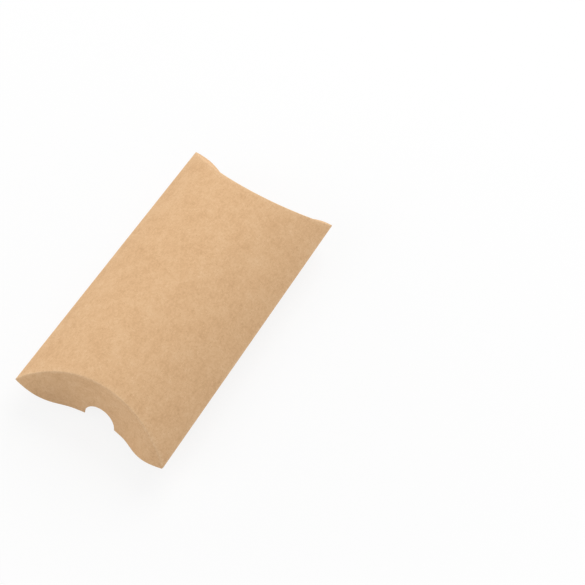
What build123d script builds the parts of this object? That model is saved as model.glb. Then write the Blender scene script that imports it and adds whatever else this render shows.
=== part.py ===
# Pillow box of kraft board: one die-cut sheet glued into a flat tube, whose two
# panels bulge when the curved flaps at its ends are pushed in. X runs along the
# box, Y across it and Z up. The origin is under its middle, on what it rests on.
# The sheet is divided at its creases, because each flap turns on its own crease.

import os
from math import asin, cos, radians, sin, sqrt

from build123d import *

# Driving dimensions of the closed box, in millimetres and degrees
box_length = 125.0  # from corner to corner along either long edge
box_width = 68.0  # between the sharp lines of the two long edges
box_height = 26.6  # over the two bulged panels
board = 0.4  # thickness of the sheet
edge_radius = 0.6  # outside rounding of the two long edges
crease_inset = 11.2  # how far each end crease bows in from its corners
flap_length = 24.2  # from the crease to the free edge, along the middle
outer_fold = 78.4  # turn of an outer flap from the run of its panel, in its middle
corner_fold = 64.5  # the same near its two corners, where it flares
corner_trim = 0.45  # cut off each pointed corner of an outer flap
flare_share = 0.32  # of the width, over which that turn eases in from each corner
inner_fold = 110.0  # turn of an inner flap, which leans into the box
notch_radius = 8.0  # thumb notch in the free edge of each outer flap
crease_gap = 0.15  # between a flap and the panel that carries it
inner_flap_gap = 0.3  # between an inner flap and the panel above it
inner_flap_trim = 2.5  # cut off each pointed corner of an inner flap

# Glued seam inside the +Y long edge, in millimetres
tab_width = 12.0  # from the long edge to the tab's free edge
tab_inset = 16.0  # from a corner of the box to the tab's nearer end
tab_bevel = 5.0  # how much further in the tab's free edge stops
glue_thickness = 0.1
glue_border = 1.5  # bare tab round the glue

half_length = box_length / 2
half_width = box_width / 2
rise = box_height / 2
seam_z = rise
apex_x = half_length - crease_inset
reach = box_length


def arc_radius(half_chord, sagitta):
    """Radius of the arc that rises by sagitta over a chord of twice half_chord."""
    return (half_chord**2 + sagitta**2) / (2 * sagitta)


# Each panel is an arc seen from the end. The two arcs meet at the long edges.
panel_radius = arc_radius(half_width, rise)
panel_axis_z = box_height - panel_radius
corner_turn = asin(half_width / panel_radius)
flat_half_width = panel_radius * corner_turn
inside_radius = panel_radius - board
inside_half_width = sqrt(inside_radius**2 - (seam_z - panel_axis_z) ** 2)

left_corner = (-half_width, seam_z)
right_corner = (half_width, seam_z)
inside_left = (-inside_half_width, seam_z)
inside_right = (inside_half_width, seam_z)


def flap_plane(apex_z, side, fold):
    """Plane square to a near flap's straight lines, at the middle of its crease.

    Its Z runs along the flap to the free edge, and its Y points out of the box.
    side is 1 where the flap hangs from its crease and -1 where it stands on it.
    """
    turn = radians(fold)
    return Plane(
        origin=(apex_x, 0, apex_z),
        x_dir=(0, side, 0),
        z_dir=(cos(turn), 0, -side * sin(turn)),
    )


def flap_radius(fold):
    """Radius of a flap's outside, which runs through the corners of the box."""
    turn = radians(fold)
    return arc_radius(half_width, crease_inset * sin(turn) - rise * cos(turn))


outer_plane = flap_plane(box_height, 1, outer_fold)
inner_plane = flap_plane(0, -1, inner_fold)
outer_radius = flap_radius(outer_fold)
inner_radius = flap_radius(inner_fold)

# End view of the sleeve that the two panels make
with BuildSketch(Plane.YZ) as sleeve:
    with BuildLine():
        ThreePointArc(left_corner, (0, box_height), right_corner)
        ThreePointArc(left_corner, (0, 0), right_corner)
    make_face()
    fillet(sleeve.vertices(), edge_radius)
    with BuildLine():
        ThreePointArc(inside_left, (0, box_height - board), inside_right)
        ThreePointArc(inside_left, (0, board), inside_right)
    make_face(mode=Mode.SUBTRACT)

# Panels: the near half of each, cut clear of its flap, then mirrored
with BuildPart() as top_panel:
    extrude(sleeve.sketch, amount=half_length)
    split(bisect_by=Plane.XY.offset(seam_z), keep=Keep.TOP)
    with BuildSketch(outer_plane):
        with Locations((0, outer_radius)):
            Circle(outer_radius + board + crease_gap)
    extrude(amount=reach, both=True, mode=Mode.SUBTRACT)
    mirror(about=Plane.YZ)

with BuildPart() as bottom_panel:
    extrude(sleeve.sketch, amount=half_length)
    split(bisect_by=Plane.XY.offset(seam_z), keep=Keep.BOTTOM)
    with BuildSketch(inner_plane):
        with Locations((0, inner_radius)):
            Circle(inner_radius + board + crease_gap)
    extrude(amount=reach, both=True, mode=Mode.SUBTRACT)
    mirror(about=Plane.YZ)

# Outer flaps: a sheet of straight lines from the crease to the free edge. Each line
# is turned down about the crease, less so near the corners, and the notch is cut.
free_sagitta = flap_length - crease_inset
free_radius = arc_radius(flat_half_width, free_sagitta)
lines = 24
last_turn = corner_turn - corner_trim / panel_radius


def flap_line(turn):
    """Ends of the outer flap's line that starts where the panel leans by turn."""
    height = panel_radius * cos(turn) - panel_radius + rise
    inset = crease_inset * height / rise
    start = Vector(half_length - inset, panel_radius * sin(turn), seam_z + height)
    crease = Vector(crease_inset / rise * sin(turn), cos(turn), -sin(turn))
    across = panel_radius * abs(turn)
    share = min(1, (flat_half_width - across) / (2 * flat_half_width * flare_share))
    ease = share**2 * (3 - 2 * share)
    fold = corner_fold + (outer_fold - corner_fold) * ease
    direction = Vector(1, 0, 0).rotate(Axis((0, 0, 0), crease), fold)
    bulge = sqrt(free_radius**2 - across**2) - free_radius + free_sagitta
    return start, start + direction * (inset + bulge)


flap_lines = [flap_line(last_turn * (2 * i / lines - 1)) for i in range(lines + 1)]
notch_plane = Plane(
    origin=outer_plane.origin + outer_plane.z_dir * flap_length,
    x_dir=(0, 1, 0),
    z_dir=outer_plane.y_dir,
)

with BuildLine() as crease_line:
    Spline(*[start for start, end in flap_lines])
with BuildLine() as free_line:
    Spline(*[end for start, end in flap_lines])
outer_sheet = Face.make_surface_from_curves(crease_line.edge(), free_line.edge())

with BuildPart() as near_outer_flap:
    thicken(outer_sheet, amount=board)
    with BuildSketch(notch_plane):
        Circle(notch_radius)
    extrude(amount=notch_radius, both=True, mode=Mode.SUBTRACT)

with BuildPart() as far_outer_flap:
    mirror(near_outer_flap.part, about=Plane.YZ)

# Inner flaps: the same sheet without a notch, kept clear of the top panel
inner_edge_z = flap_length * sin(radians(inner_fold))

with BuildPart() as near_inner_flap:
    with BuildSketch(inner_plane):
        with Locations((0, inner_radius)):
            Circle(inner_radius + board)
            Circle(inner_radius, mode=Mode.SUBTRACT)
    extrude(amount=reach, both=True)
    with BuildSketch(Plane.YZ):
        with BuildLine():
            ThreePointArc(left_corner, (0, 0), right_corner)
            ThreePointArc(left_corner, (0, inner_edge_z), right_corner)
        make_face()
        with Locations((0, panel_axis_z)):
            Circle(inside_radius - inner_flap_gap, mode=Mode.INTERSECT)
        with Locations((0, seam_z)):
            Rectangle(box_width - 2 * inner_flap_trim, box_height, mode=Mode.INTERSECT)
    extrude(amount=half_length + flap_length, mode=Mode.INTERSECT)

with BuildPart() as far_inner_flap:
    mirror(near_inner_flap.part, about=Plane.YZ)

# Seam: a tab that folds over from the bottom panel, glued under the top panel
tab_edge_y = panel_radius * sin(corner_turn - tab_width / panel_radius)
tab_radius = inside_radius - glue_thickness
tab_end_x = half_length - tab_inset
glue_end_x = tab_end_x - tab_bevel - glue_border

with BuildPart() as seam_tab:
    with BuildSketch(Plane.YZ):
        with BuildLine():
            ThreePointArc(inside_left, (0, box_height - board), inside_right)
            ThreePointArc(inside_left, (0, board), inside_right)
        make_face()
        with Locations((0, panel_axis_z)):
            Circle(tab_radius, mode=Mode.INTERSECT)
            Circle(tab_radius - board, mode=Mode.SUBTRACT)
        with Locations((tab_edge_y, seam_z)):
            Rectangle(
                half_width,
                box_height,
                align=(Align.MIN, Align.CENTER),
                mode=Mode.INTERSECT,
            )
    extrude(amount=tab_end_x, both=True)
    with BuildSketch(Plane.XY):
        with BuildLine():
            Polyline(
                (-tab_end_x, half_width),
                (-tab_end_x + tab_bevel, tab_edge_y),
                (tab_end_x - tab_bevel, tab_edge_y),
                (tab_end_x, half_width),
                close=True,
            )
        make_face()
    extrude(amount=box_height, mode=Mode.INTERSECT)

with BuildPart() as seam_adhesive:
    with BuildSketch(Plane.YZ):
        with Locations((0, panel_axis_z)):
            Circle(inside_radius)
            Circle(tab_radius, mode=Mode.SUBTRACT)
        with Locations((tab_edge_y + glue_border, box_height)):
            Rectangle(
                inside_half_width - tab_edge_y - 2 * glue_border,
                rise,
                align=(Align.MIN, Align.MAX),
                mode=Mode.INTERSECT,
            )
    extrude(amount=glue_end_x, both=True)

pieces = {
    "top_panel": top_panel,
    "bottom_panel": bottom_panel,
    "seam_tab": seam_tab,
    "seam_adhesive": seam_adhesive,
    "near_outer_flap": near_outer_flap,
    "near_inner_flap": near_inner_flap,
    "far_outer_flap": far_outer_flap,
    "far_inner_flap": far_inner_flap,
}

os.makedirs("parts", exist_ok=True)
for name, piece in pieces.items():
    piece.part.label = name
    export_step(piece.part, f"parts/{name}.step")

# Width of one panel in the flat sheet, for comparison with the real box
print("flat width of a panel", round(2 * flat_half_width, 1), "mm")
print("crease apex at x", round(apex_x, 3), "mm")
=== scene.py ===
from math import asin, cos, pi, radians, sin, sqrt

import bmesh
import bpy
import numpy as np
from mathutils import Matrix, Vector


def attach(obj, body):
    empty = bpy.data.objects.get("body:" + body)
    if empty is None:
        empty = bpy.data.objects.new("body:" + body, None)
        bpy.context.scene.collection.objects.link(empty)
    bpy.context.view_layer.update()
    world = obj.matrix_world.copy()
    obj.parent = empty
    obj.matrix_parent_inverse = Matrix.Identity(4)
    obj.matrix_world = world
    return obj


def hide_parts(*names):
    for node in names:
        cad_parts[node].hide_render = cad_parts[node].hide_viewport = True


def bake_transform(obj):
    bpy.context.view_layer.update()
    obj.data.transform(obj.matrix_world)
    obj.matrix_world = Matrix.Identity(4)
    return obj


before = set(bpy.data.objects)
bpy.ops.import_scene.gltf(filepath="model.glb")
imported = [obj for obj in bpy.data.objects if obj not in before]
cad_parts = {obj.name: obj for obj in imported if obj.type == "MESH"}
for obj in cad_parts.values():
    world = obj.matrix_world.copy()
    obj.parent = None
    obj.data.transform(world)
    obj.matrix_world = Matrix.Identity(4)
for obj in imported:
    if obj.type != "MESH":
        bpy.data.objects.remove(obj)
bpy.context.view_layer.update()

mm = 0.001

# Sizes of the box, as in its CAD source
box_length = 125.0 * mm  # from corner to corner along either long edge
box_width = 68.0 * mm  # between the sharp lines of the two long edges
box_height = 26.6 * mm  # over the two bulged panels
board = 0.4 * mm  # thickness of the sheet
edge_radius = 0.6 * mm  # outside rounding of the two long edges
crease_inset = 11.2 * mm  # how far each end crease bows in from its corners
flap_length = 24.2 * mm  # from the crease to the free edge, along the middle
outer_fold = radians(78.4)  # turn of an outer flap from its panel, in its middle
corner_fold = radians(64.5)  # the same near its two corners, where it flares
flare_share = 0.32  # of the width, over which that turn eases in from each corner
inner_fold = radians(110.0)  # turn of an inner flap, which leans into the box
notch_radius = 8.0 * mm  # thumb notch in the free edge of each outer flap
inner_flap_gap = 0.3 * mm  # between an inner flap and the panel above it
inner_flap_trim = 2.5 * mm  # cut off each pointed corner of an inner flap
tab_width = 12.0 * mm  # from the long edge to the tab's free edge
tab_inset = 16.0 * mm  # from a corner of the box to the tab's nearer end
tab_bevel = 5.0 * mm  # how much further in the tab's free edge stops
glue_thickness = 0.1 * mm

# Sizes that only the looks need
crease_radius = 0.6 * mm  # outside rounding of the end creases
crease_share = 0.4  # most of a flap's length that a crease may take
least_fold_share = 0.05  # of an inner flap's fold, at the very corners of the box
least_setback = 0.004 * mm  # of a crease's rounding from its sharp line
probe = 0.01 * mm  # step to either side of a point, to find the sheet's normal there
seam_edge_height = 0.35 * mm  # the top panel's cut edge over the seam plane
wave_height = 0.12 * mm  # slight unevenness of the panels
wave_lengths = (46.0 * mm, 33.0 * mm)  # along the box and across it
wave_starts = (1.0, 2.0)  # where the two sets of waves begin, in radians
wave_slants = (2, 3)  # each set's waves are this many times longer the other way
wave_calm = 4  # power by which the waves die out towards creases and long edges
outer_bend = 7.5 * mm  # depth over which an opening outer flap would bend at its crease; make_flap works out this bend but doesn't apply it
inner_bend = 16.0 * mm  # the same for an inner flap
inner_bend_from = 3.6 * mm  # how far before its hinge that bend starts
inner_bend_lean = radians(157.0)  # direction of that bend, as a turn from the length
highlight_and_wear_width = 0.8 * mm  # from a crease or fold to where its painted highlight and paler wear end
sheet_unit = 100.0 * mm  # length of the flat sheet that one texture unit covers

# Noises of the board, in its flat sheet: size, detail and roughness
cloud_noise = (11.0 * mm, 2.0, 0.5)
blotch_noise = (3.0 * mm, 2.0, 0.5)
grain_noise = (1.0 * mm, 4.0, 0.6)
speck_noise = (0.45 * mm, 0.0, 0.5)
tooth_noise = (0.2 * mm, 2.0, 0.6)
fibre_noise = (sheet_unit, 1.0, 0.5)  # before it is drawn in to each fibre's size

# How strongly each noise shades the board
cloud_strength = 0.75
blotch_strength = 0.75
grain_strength = 1.2

# How a noise is stretched: from which value to which, and what these two become
dark_specks = (0.30, 0.18, 0.0, 0.5)
pale_specks = (0.70, 0.82, 0.0, 0.5)
dark_tooth = (0.5, 0.8, 0.0, 0.3)
# how grain breaks up the painted highlight and rubbed wear along creases and folds
rubbed_and_highlight_grain = (0.3, 0.7, 0.15, 0.7)
board_roughness = (0.3, 0.7, 0.8, 0.92)
fibre_streak = (0.69, 0.76, 0.0, 1.0)

# Gloss and relief of the board, and clouds of the glue
board_specular = 0.25
relief_strength = 0.3
relief_height = 0.03 * mm
glue_cloud_size = 2.5 * mm
glue_roughness = 0.4

# Fibres of the board, in its flat sheet
fibre_width = 0.22 * mm
fibre_strength = 0.55
fibre_relief = 0.5
fibres = (  # direction in degrees, length, and whether they are pale
    (8, 2.6 * mm, True),
    (63, 1.8 * mm, False),
    (-52, 2.2 * mm, True),
    (-14, 1.6 * mm, False),
    (84, 2.4 * mm, False),
)

# Colours of the board: its tone, and its dark and pale fibres; the pale one also paints
# the highlight and wear along creases and folds
face_colours = ((0.725, 0.46, 0.25, 1), (0.50, 0.275, 0.125, 1), (0.865, 0.615, 0.38, 1))
edge_colours = ((0.60, 0.385, 0.21, 1), (0.40, 0.24, 0.12, 1), (0.78, 0.56, 0.36, 1))
glue_colours = ((0.74, 0.70, 0.57, 1), (0.62, 0.55, 0.40, 1))

# Lamps as their direction from the box and their power
key_lamp = ((-0.707, 0.0, 0.707), 5.1)
fill_lamp = ((0.612, -0.612, 0.5), 2.35)
lamp_distance = 900 * mm
lamp_size = 600 * mm
sky_strength = 0.48
floor_size = 4000 * mm
floor_colour = (0.9, 0.9, 0.9, 1)
floor_glow = 0.85  # share of white that the camera sees over the floor's shadow
shadow_reach = 90 * mm  # from the middle of the floor to where that share grows
white_reach = 260 * mm  # and to where the camera sees only white

# The photograph's view of the box
camera_place = (177.98 * mm, 133.48 * mm, 434.62 * mm)
camera_turn = (28.137, -3.002, 121.087)  # in degrees
camera_lens = 73.47
camera_sensor = 36
camera_near = 10 * mm
camera_far = 20000 * mm

# Sockets of a Mix node: its share, its two colours and its result
mix_share = 0
mix_first = 6
mix_second = 7
mix_result = 2

# Columns and rows of the sheets
panel_columns = 72
fold_columns = 6
panel_rows = 32
crease_rows = 8
flap_rows = 22
notch_columns = 41
side_columns = 30
inner_columns = 70
tab_rows = 61
tab_columns = 14
length_samples = 400  # tried lengths of an inner flap in each of its columns

half_length = box_length / 2
half_width = box_width / 2
rise = box_height / 2
slope = crease_inset / rise
free_sagitta = flap_length - crease_inset
lengthways = np.array([1.0, 0, 0])


def arc_radius(half_chord, sagitta):
    """Radius of the arc that rises by sagitta over a chord of twice half_chord."""
    return (half_chord**2 + sagitta**2) / (2 * sagitta)


panel_radius = arc_radius(half_width, rise)
axis_depth = panel_radius - rise  # of a panel's axis beyond the seam plane
flat_half_width = panel_radius * asin(half_width / panel_radius)
free_radius = arc_radius(flat_half_width, free_sagitta)
tab_radius = panel_radius - board - glue_thickness


def fold_centre(other_radius):
    """Centre of a long edge's rounding, from a panel to a sheet of other_radius."""
    near = panel_radius - edge_radius
    far = other_radius - edge_radius
    height = (near**2 - far**2) / (4 * axis_depth)
    return sqrt(near**2 - (axis_depth + height) ** 2), height


def rounding_start(centre_y):
    """Distance across the sheet to where the rounding of a long edge starts."""
    return panel_radius * asin(centre_y / (panel_radius - edge_radius))


fold_y, fold_height = fold_centre(panel_radius)
seam_y, seam_height = fold_centre(tab_radius)
fold_from = rounding_start(fold_y)
seam_from = rounding_start(seam_y)
fold_to = fold_from + edge_radius * (pi / 2 - fold_from / panel_radius)
tab_turn = asin(seam_y / (tab_radius - edge_radius))
seam_to = seam_from + edge_radius * (pi - tab_turn - seam_from / panel_radius)
cut_y = sqrt(panel_radius**2 - (axis_depth + seam_edge_height) ** 2)
cut_to = panel_radius * asin(cut_y / panel_radius)


def section(across, seam):
    """End view of a panel at distances across the sheet: y, height and lean.

    Height is counted out of the box from the seam plane, and lean is the turn from
    level. seam says that the +Y edge folds over to the tab, and doesn't end there.
    """
    side = np.sign(across)
    width = np.abs(across)
    tabbed = seam & (across > 0)
    plus_start = seam_from if seam else flat_half_width
    start = np.where(across > 0, plus_start, fold_from)
    lean = np.where(
        width <= start,
        width / panel_radius,
        start / panel_radius + (width - start) / edge_radius,
    )
    radius = np.where(width <= start, panel_radius, edge_radius)
    centre_y = np.where(width <= start, 0, np.where(tabbed, seam_y, fold_y))
    centre_height = np.where(
        width <= start, -axis_depth, np.where(tabbed, seam_height, fold_height)
    )
    y = centre_y + radius * np.sin(lean)
    return side * y, centre_height + radius * np.cos(lean), side * lean


def crease(across, way):
    """Near crease of a panel, and the direction it runs in.

    way is 1 for the top panel and -1 for the bottom one.
    """
    y, height, lean = section(across, way < 0)
    x = half_length - slope * np.maximum(height, 0)
    point = np.stack([x, y, rise + way * height], axis=-1)
    run = np.stack([slope * np.sin(lean), np.cos(lean), -way * np.sin(lean)], axis=-1)
    return point, run / np.linalg.norm(run, axis=-1, keepdims=True)


def full_length(across):
    """Length of a flap from its crease to its free edge, without a notch."""
    height = section(across, False)[1]
    bulge = np.sqrt(free_radius**2 - across**2) - free_radius + free_sagitta
    return np.maximum(slope * height + bulge, 0)


def flap_run(across, way):
    """Directions of a near flap's straight lines, from the crease.

    An inner flap has no corners, so there its fold fades out into a cut edge.
    """
    inward = flat_half_width - np.abs(across)
    if way < 0:
        fold = inner_fold * np.clip(inward / inner_flap_trim, least_fold_share, 1)
        return np.stack([np.cos(fold), 0 * fold, np.sin(fold)], axis=-1)
    run = crease(across, way)[1]
    share = np.clip(inward / (2 * flat_half_width * flare_share), 0, 1)
    fold = corner_fold + (outer_fold - corner_fold) * share**2 * (3 - 2 * share)
    cosine = np.cos(fold)[..., None]
    sine = np.sin(fold)[..., None]
    straight = run * (run @ lengthways)[..., None] * (1 - cosine)
    return lengthways * cosine + np.cross(run, lengthways) * sine + straight


def crease_setback(across, way):
    """How far to either side of the sharp crease its rounding reaches."""
    turn = np.arccos(flap_run(across, way)[..., 0])
    wanted = crease_radius * np.tan(turn / 2)
    most = crease_share * full_length(across) + least_setback
    return np.clip(wanted, least_setback, most)


def near_end(across, beyond, way):
    """Outside of the sheet at a near end, beyond the crease and across the sheet."""
    point, _ = crease(across, way)
    run = flap_run(across, way)
    turn = np.arccos(run[..., 0])
    setback = crease_setback(across, way)
    radius = setback / np.tan(turn / 2)
    inward = (run - lengthways * np.cos(turn)[..., None]) / np.sin(turn)[..., None]
    angle = np.clip((beyond + setback) / (2 * setback), 0, 1) * turn
    straight = np.minimum(beyond + setback, 0) - setback + radius * np.sin(angle)
    return (
        point
        + lengthways * straight[..., None]
        + inward * (radius * (1 - np.cos(angle)))[..., None]
        + run * np.maximum(beyond - setback, 0)[..., None]
    )


def near_sheet(across, beyond, way):
    """Outside points of a near end, and normals that point out of the box."""
    wide = near_end(across + probe, beyond, way) - near_end(across - probe, beyond, way)
    long = near_end(across, beyond + probe, way) - near_end(across, beyond - probe, way)
    normal = np.cross(long, wide) * way
    normal /= np.linalg.norm(normal, axis=-1, keepdims=True)
    return near_end(across, beyond, way), normal


def mirrored(points):
    """The same points or directions at the far end."""
    return points * np.array([-1.0, 1, 1])


def sheet_piece(name, outside, normal, flat, highlight_and_wear, node):
    """A sheet with cut edges that stands for a node, from a grid of its outside.

    flat is the grid's place in the flat sheet, which the board's fibres follow, and
    the mask after it is 1 where a crease or fold gets a painted highlight and wear.
    """
    rows, columns = outside.shape[:2]
    count = rows * columns
    points = np.concatenate([outside, outside - normal * board]).reshape(-1, 3)
    flats = np.concatenate([flat, flat]).reshape(-1, 2) / sheet_unit
    grid = np.arange(count).reshape(rows, columns)
    rim = np.concatenate([grid[:, 0], grid[-1, 1:], grid[-2::-1, -1], grid[0, -2:0:-1]])
    corners = {grid[0, 0], grid[-1, 0], grid[-1, -1], grid[0, -1]}

    work = bmesh.new()
    layer = work.loops.layers.uv.new("flat_sheet")
    # per vertex: painted highlight and rubbed wear along creases and folds, for the
    # material
    highlight_and_wear_layer = work.verts.layers.float.new("highlight_and_wear")
    vertices = [work.verts.new(point) for point in points]
    for vertex, share in zip(vertices, np.concatenate([highlight_and_wear, highlight_and_wear]).ravel()):
        vertex[highlight_and_wear_layer] = share

    def face(indices, material):
        made = work.faces.new([vertices[i] for i in indices])
        made.smooth = True
        made.material_index = material
        for loop, i in zip(made.loops, indices):
            depth = board / sheet_unit if material and i >= count else 0
            loop[layer].uv = flats[i] + depth

    for i in range(rows - 1):
        for j in range(columns - 1):
            loop = [grid[i, j], grid[i, j + 1], grid[i + 1, j + 1], grid[i + 1, j]]
            face(loop, 0)
            face([k + count for k in reversed(loop)], 0)
    for here, there in zip(rim, np.roll(rim, -1)):
        face([here, there, there + count, here + count], 1)
    bmesh.ops.recalc_face_normals(work, faces=work.faces)
    for edge in work.edges:
        sides = {side.material_index for side in edge.link_faces}
        ends = {vertex.index % count for vertex in edge.verts}
        edge.smooth = sides != {0, 1}
        if len(ends) == 1 and ends <= corners:
            edge.smooth = False

    mesh = bpy.data.meshes.new(name)
    work.to_mesh(mesh)
    work.free()
    piece = bpy.data.objects.new(name, mesh)
    bpy.context.scene.collection.objects.link(piece)
    mesh.materials.append(kraft)
    mesh.materials.append(cut_edge)
    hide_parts(node)
    return piece


def waves(flat, sunk):
    """Slight unevenness of a panel at places in the flat sheet, along its normal.

    sunk is 1 for a panel that rests on the floor, so that no wave goes below it.
    """
    long, wide = wave_lengths
    first_start, second_start = wave_starts
    first_slant, second_slant = wave_slants
    x = flat[..., 0]
    y = flat[..., 1]
    first = np.sin(2 * pi * (x / long + y / wide / first_slant) + first_start)
    second = np.sin(2 * pi * (y / wide - x / long / second_slant) + second_start)
    end_calm = np.clip(1 - (np.abs(x) / (half_length - crease_inset)) ** wave_calm, 0, 1)
    edge_calm = np.clip(1 - (np.abs(y) / flat_half_width) ** wave_calm, 0, 1)
    return wave_height * (first * second - sunk) * end_calm * edge_calm


def highlight_and_wear_share(distance):
    """Painted highlight and wear of the board at a distance from a crease or fold."""
    return np.clip(1 - np.abs(distance) / highlight_and_wear_width, 0, 1)


def make_panel(node, way, columns):
    """A panel from crease to crease, with both creases' roundings."""
    point, _ = crease(columns, way)
    setback = crease_setback(columns, way)
    level = (np.linspace(0, 1, panel_rows)[:, None] - 1) * (point[:, 0] - setback)
    bend = np.linspace(-1, 1, crease_rows)[1:, None]
    beyond = np.concatenate([level - setback, bend * setback])
    across = np.broadcast_to(columns, beyond.shape)
    near, near_normal = near_sheet(across, beyond, way)
    near_flat = np.stack([point[:, 0] + beyond, across], axis=-1)
    outside = np.concatenate([mirrored(near)[:0:-1], near])
    normal = np.concatenate([mirrored(near_normal)[:0:-1], near_normal])
    far_flat = near_flat[:0:-1] * np.array([-1.0, 1])
    flat = np.concatenate([far_flat, near_flat])
    outside = outside + normal * waves(flat, way < 0)[..., None]
    past_crease = np.concatenate([beyond[:0:-1], beyond])
    from_fold = (fold_from + fold_to) / 2 - np.abs(flat[..., 1])
    # painted highlight and rubbed wear along both creases and both long folds
    highlight_and_wear = np.maximum(highlight_and_wear_share(past_crease), highlight_and_wear_share(from_fold))
    place = sheet_place(flat, way)
    piece = sheet_piece(node + "_board", outside, normal, place, highlight_and_wear, node)
    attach(piece, "sleeve")


def sheet_place(flat, way):
    """Place in the whole flat sheet, in which the bottom panel lies beside the top."""
    return flat * np.array([1, way]) - np.array([0, (1 - way) * flat_half_width])


def make_flap(end, kind, way, across, length):
    """A flap from its crease to its free edge. end is "near" or "far"."""
    point, _ = crease(across, way)
    setback = crease_setback(across, way)
    share = np.linspace(0, 1, flap_rows)[:, None]
    beyond = setback + share * (length - setback)
    columns = np.broadcast_to(across, beyond.shape)
    outside, normal = near_sheet(columns, beyond, way)
    flat = np.stack([point[:, 0] + beyond, columns], axis=-1)
    hinge = np.array([half_length - crease_inset, 0, rise + way * rise])
    if kind == "outer":
        into = np.array([-rise, 0, -crease_inset]) / np.hypot(rise, crease_inset)
        bend = [hinge, hinge + into * outer_bend]
    else:
        into = np.array([cos(inner_bend_lean), 0, sin(inner_bend_lean)])
        bend_from = hinge - into * inner_bend_from
        bend = [bend_from, bend_from + into * inner_bend]
    if end == "far":
        outside = mirrored(outside)
        normal = mirrored(normal)
        flat = flat * np.array([-1.0, 1])
        bend = [mirrored(place) for place in bend]
    node = f"{end}_{kind}_flap"
    place = sheet_place(flat, way)
    # painted highlight and rubbed wear along the crease
    highlight_and_wear = highlight_and_wear_share(beyond)
    piece = sheet_piece(node + "_board", outside, normal, place, highlight_and_wear, node)
    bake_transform(piece)


def make_tab():
    """The glue tab inside the +Y long edge, from the fold to its free edge."""
    share = np.linspace(0, 1, tab_columns)
    turn = tab_turn - share * (tab_turn - (flat_half_width - tab_width) / panel_radius)
    end = half_length - tab_inset - tab_bevel * share
    x = np.linspace(-1, 1, tab_rows)[:, None] * end
    lean = np.broadcast_to(turn, x.shape)
    normal = np.stack([0 * x, np.sin(lean), np.cos(lean)], axis=-1)
    centre = np.array([0, 0, rise - axis_depth])
    outside = normal * tab_radius + centre + x[..., None] * lengthways
    flat = np.stack([x, lean * tab_radius + 2 * flat_half_width], axis=-1)
    # the tab has no painted highlight or wear
    no_highlight_or_wear = np.zeros(x.shape)
    piece = sheet_piece("seam_tab_board", outside, normal, flat, no_highlight_or_wear, "seam_tab")
    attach(piece, "sleeve")


def across_panel(low, level_low, level_high, high):
    """Columns across a panel, closer together on its rounded long edges."""
    return np.concatenate([
        np.linspace(low, level_low, fold_columns, endpoint=False),
        np.linspace(level_low, level_high, panel_columns, endpoint=False),
        np.linspace(level_high, high, fold_columns),
    ])


def outer_across():
    """Columns across an outer flap, closer together beside the notch's corners.

    They stop where the rounding of the long edges starts.
    """
    notch = notch_radius * np.sin(np.linspace(-pi / 2, pi / 2, notch_columns))
    side = np.linspace(notch_radius, fold_from, side_columns)[1:]
    return np.concatenate([-side[::-1], notch, side])


def outer_length(across):
    """Length of an outer flap, down to its notch."""
    return full_length(across) - np.sqrt(np.maximum(notch_radius**2 - across**2, 0))


def inner_length(across):
    """Length of an inner flap, kept clear of the top panel."""
    point, _ = crease(across, -1)
    length = np.linspace(0, 1, length_samples)[:, None] * full_length(across)
    z = point[:, 2] + length * sin(inner_fold) + board - rise + axis_depth
    clear = np.hypot(point[:, 1], z) < panel_radius - board - inner_flap_gap
    return np.max(np.where(clear, length, 0), axis=0)


def put(tree, kind, inputs=None, **settings):
    """A new node with its settings, and with its inputs set or linked."""
    node = tree.nodes.new("ShaderNode" + kind)
    for key, value in settings.items():
        setattr(node, key, value)
    for key, value in (inputs or {}).items():
        if isinstance(value, bpy.types.NodeSocket):
            tree.links.new(value, node.inputs[key])
        else:
            node.inputs[key].default_value = value
    return node


def noise(tree, place, size, detail, roughness):
    """Noise between 0 and 1, with features of about one size in the flat sheet."""
    scale = sheet_unit / size
    inputs = {"Vector": place, "Scale": scale, "Detail": detail, "Roughness": roughness}
    return put(tree, "TexNoise", inputs).outputs["Fac"]


def stretch(tree, value, low, high, to_low=0.0, to_high=1.0):
    """Value taken from low to high over to to_low to to_high, and held there."""
    inputs = {
        "Value": value,
        "From Min": low,
        "From Max": high,
        "To Min": to_low,
        "To Max": to_high,
    }
    return put(tree, "MapRange", inputs).outputs["Result"]


def combine(tree, operation, first, second):
    """Sum, product or other result of two numbers."""
    return put(tree, "Math", {0: first, 1: second}, operation=operation).outputs[0]


def tint(tree, colour, other, share):
    """Colour blended with another one by a share from 0 to 1."""
    inputs = {mix_share: share, mix_first: colour, mix_second: other}
    return put(tree, "Mix", inputs, data_type="RGBA").outputs[mix_result]


def fibre_streaks(tree, place, angle, length):
    """Sparse streaks of fibre along one direction of the sheet."""
    inputs = {
        "Vector": place,
        "Rotation": (0, 0, radians(angle)),
        "Scale": (length / sheet_unit, fibre_width / sheet_unit, 1),
    }
    turned = put(tree, "Mapping", inputs, vector_type="TEXTURE")
    value = noise(tree, turned.outputs["Vector"], *fibre_noise)
    return stretch(tree, value, *fibre_streak)


def new_material(name):
    """A material, with its node tree and the shader in it."""
    material = bpy.data.materials.new(name)
    material.use_nodes = True
    tree = material.node_tree
    return material, tree, tree.nodes["Principled BSDF"]


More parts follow.
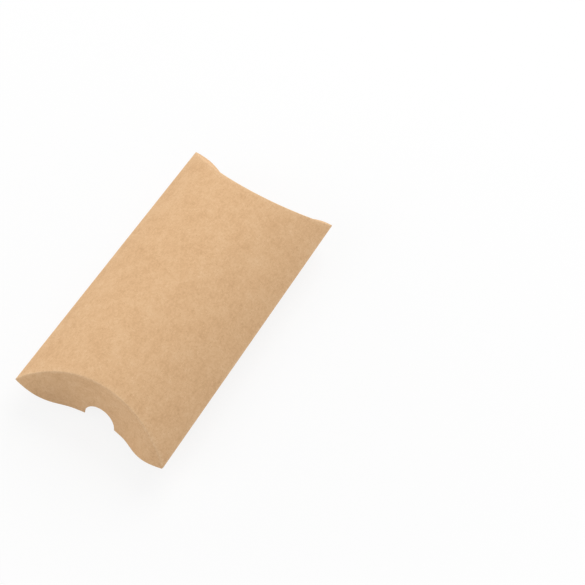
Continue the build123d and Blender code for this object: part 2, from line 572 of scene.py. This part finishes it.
def kraft_material(name, colours):
    """Uncoated kraft board: cloudy pulp with specks and short dark and pale fibres,
    painted paler along creases and folds as a painted highlight with rubbed wear.
    """
    tone, dark, pale = colours
    material, tree, shader = new_material(name)
    place = put(tree, "UVMap", uv_map="flat_sheet").outputs["UV"]
    # mask of the painted highlight and rubbed wear along creases and folds
    highlight_and_wear = put(tree, "Attribute", attribute_name="highlight_and_wear").outputs["Fac"]
    cloud = noise(tree, place, *cloud_noise)
    blotch = noise(tree, place, *blotch_noise)
    grain = noise(tree, place, *grain_noise)
    speck = noise(tree, place, *speck_noise)
    tooth = noise(tree, place, *tooth_noise)

    shade = combine(tree, "MULTIPLY", grain, grain_strength)
    for part, strength in ((cloud, cloud_strength), (blotch, blotch_strength)):
        shade = combine(tree, "ADD", shade, combine(tree, "MULTIPLY", part, strength))
    middle = (grain_strength + cloud_strength + blotch_strength) / 2
    colour = tint(tree, tone, dark, stretch(tree, shade, middle, middle - 1))
    colour = tint(tree, colour, pale, stretch(tree, shade, middle, middle + 1))
    colour = tint(tree, colour, dark, stretch(tree, speck, *dark_specks))
    colour = tint(tree, colour, pale, stretch(tree, speck, *pale_specks))
    colour = tint(tree, colour, dark, stretch(tree, tooth, *dark_tooth))
    # painted highlight with rubbed wear: the pale colour, broken up by grain, along
    # creases and folds
    rubbed_and_highlight = combine(tree, "MULTIPLY", highlight_and_wear, stretch(tree, grain, *rubbed_and_highlight_grain))
    colour = tint(tree, colour, pale, rubbed_and_highlight)

    relief = combine(tree, "ADD", tooth, grain)
    for angle, length, is_pale in fibres:
        streak = fibre_streaks(tree, place, angle, length)
        share = combine(tree, "MULTIPLY", streak, fibre_strength)
        colour = tint(tree, colour, pale if is_pale else dark, share)
        raised = combine(tree, "MULTIPLY", streak, fibre_relief)
        relief = combine(tree, "ADD", relief, raised)
    inputs = {"Height": relief, "Strength": relief_strength, "Distance": relief_height}
    bump = put(tree, "Bump", inputs)
    roughness = stretch(tree, grain, *board_roughness)
    tree.links.new(colour, shader.inputs["Base Color"])
    tree.links.new(bump.outputs["Normal"], shader.inputs["Normal"])
    tree.links.new(roughness, shader.inputs["Roughness"])
    shader.inputs["Specular IOR Level"].default_value = board_specular
    return material


def glue_material():
    """Dried glue, slightly uneven."""
    material, tree, shader = new_material("dried_glue")
    place = put(tree, "TexCoord").outputs["Object"]
    inputs = {"Vector": place, "Scale": 1 / glue_cloud_size}
    cloud = put(tree, "TexNoise", inputs).outputs["Fac"]
    pale, deep = glue_colours
    tree.links.new(tint(tree, pale, deep, cloud), shader.inputs["Base Color"])
    shader.inputs["Roughness"].default_value = glue_roughness
    return material


def seen(tree):
    """1 for rays from the camera, straight or by gloss or glass, and else 0."""
    path = put(tree, "LightPath")
    share = path.outputs["Is Camera Ray"]
    for other in ("Is Glossy Ray", "Is Transmission Ray"):
        share = combine(tree, "MAXIMUM", share, path.outputs[other])
    return share


def make_floor():
    """A floor that the camera sees as white, with the shadow kept round the box."""
    bpy.ops.mesh.primitive_plane_add(size=floor_size)
    floor = bpy.context.object
    floor.name = "floor"
    material, tree, _ = new_material("white_floor")
    tree.nodes.clear()
    lit = put(tree, "BsdfDiffuse", {"Color": floor_colour})
    glow = put(tree, "Emission", {"Strength": 1.0})
    place = put(tree, "TexCoord").outputs["Object"]
    distance = put(tree, "VectorMath", {0: place}, operation="LENGTH").outputs["Value"]
    white = stretch(tree, distance, shadow_reach, white_reach, floor_glow, 1.0)
    share = combine(tree, "MULTIPLY", seen(tree), white)
    inputs = {0: share, 1: lit.outputs[0], 2: glow.outputs[0]}
    mixed = put(tree, "MixShader", inputs)
    put(tree, "OutputMaterial", {"Surface": mixed.outputs[0]})
    floor.data.materials.append(material)


def make_lamp(name, direction, energy):
    """A soft square lamp in one direction from the box."""
    data = bpy.data.lights.new(name, "AREA")
    data.size = lamp_size
    data.energy = energy
    lamp = bpy.data.objects.new(name, data)
    bpy.context.scene.collection.objects.link(lamp)
    towards = Vector(direction).normalized()
    lamp.location = towards * lamp_distance
    lamp.rotation_mode = "QUATERNION"
    lamp.rotation_quaternion = towards.to_track_quat("Z", "Y")


def make_sky():
    """Even white light all round, which the camera sees as plain white."""
    world = bpy.data.worlds.new("studio")
    world.use_nodes = True
    tree = world.node_tree
    tree.nodes.clear()
    white = (1, 1, 1, 1)
    sky = put(tree, "Background", {"Color": white, "Strength": sky_strength})
    backdrop = put(tree, "Background", {"Color": white, "Strength": 1.0})
    inputs = {0: seen(tree), 1: sky.outputs[0], 2: backdrop.outputs[0]}
    mixed = put(tree, "MixShader", inputs)
    put(tree, "OutputWorld", {"Surface": mixed.outputs[0]})
    bpy.context.scene.world = world


def make_camera():
    """The photograph's view of the box."""
    data = bpy.data.cameras.new("camera")
    data.lens = camera_lens
    data.sensor_width = camera_sensor
    data.clip_start = camera_near
    data.clip_end = camera_far
    camera = bpy.data.objects.new("camera", data)
    bpy.context.scene.collection.objects.link(camera)
    camera.location = camera_place
    camera.rotation_euler = [radians(angle) for angle in camera_turn]
    bpy.context.scene.camera = camera


kraft = kraft_material("kraft_board", face_colours)
cut_edge = kraft_material("kraft_cut_edge", edge_colours)

make_panel("top_panel", 1, across_panel(-fold_to, -fold_from, fold_from, cut_to))
make_panel("bottom_panel", -1, across_panel(-fold_to, -fold_from, seam_from, seam_to))
make_tab()
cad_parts["seam_adhesive"].data.materials.clear()
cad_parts["seam_adhesive"].data.materials.append(glue_material())

outer = outer_across()
inner_reach = panel_radius * asin((half_width - inner_flap_trim) / panel_radius)
inner = np.linspace(-inner_reach, inner_reach, inner_columns)
for end in ("near", "far"):
    make_flap(end, "outer", 1, outer, outer_length(outer))
    make_flap(end, "inner", -1, inner, inner_length(inner))

make_floor()
make_lamp("key", *key_lamp)
make_lamp("fill", *fill_lamp)
make_sky()
make_camera()
bpy.context.scene.view_settings.view_transform = "Standard"
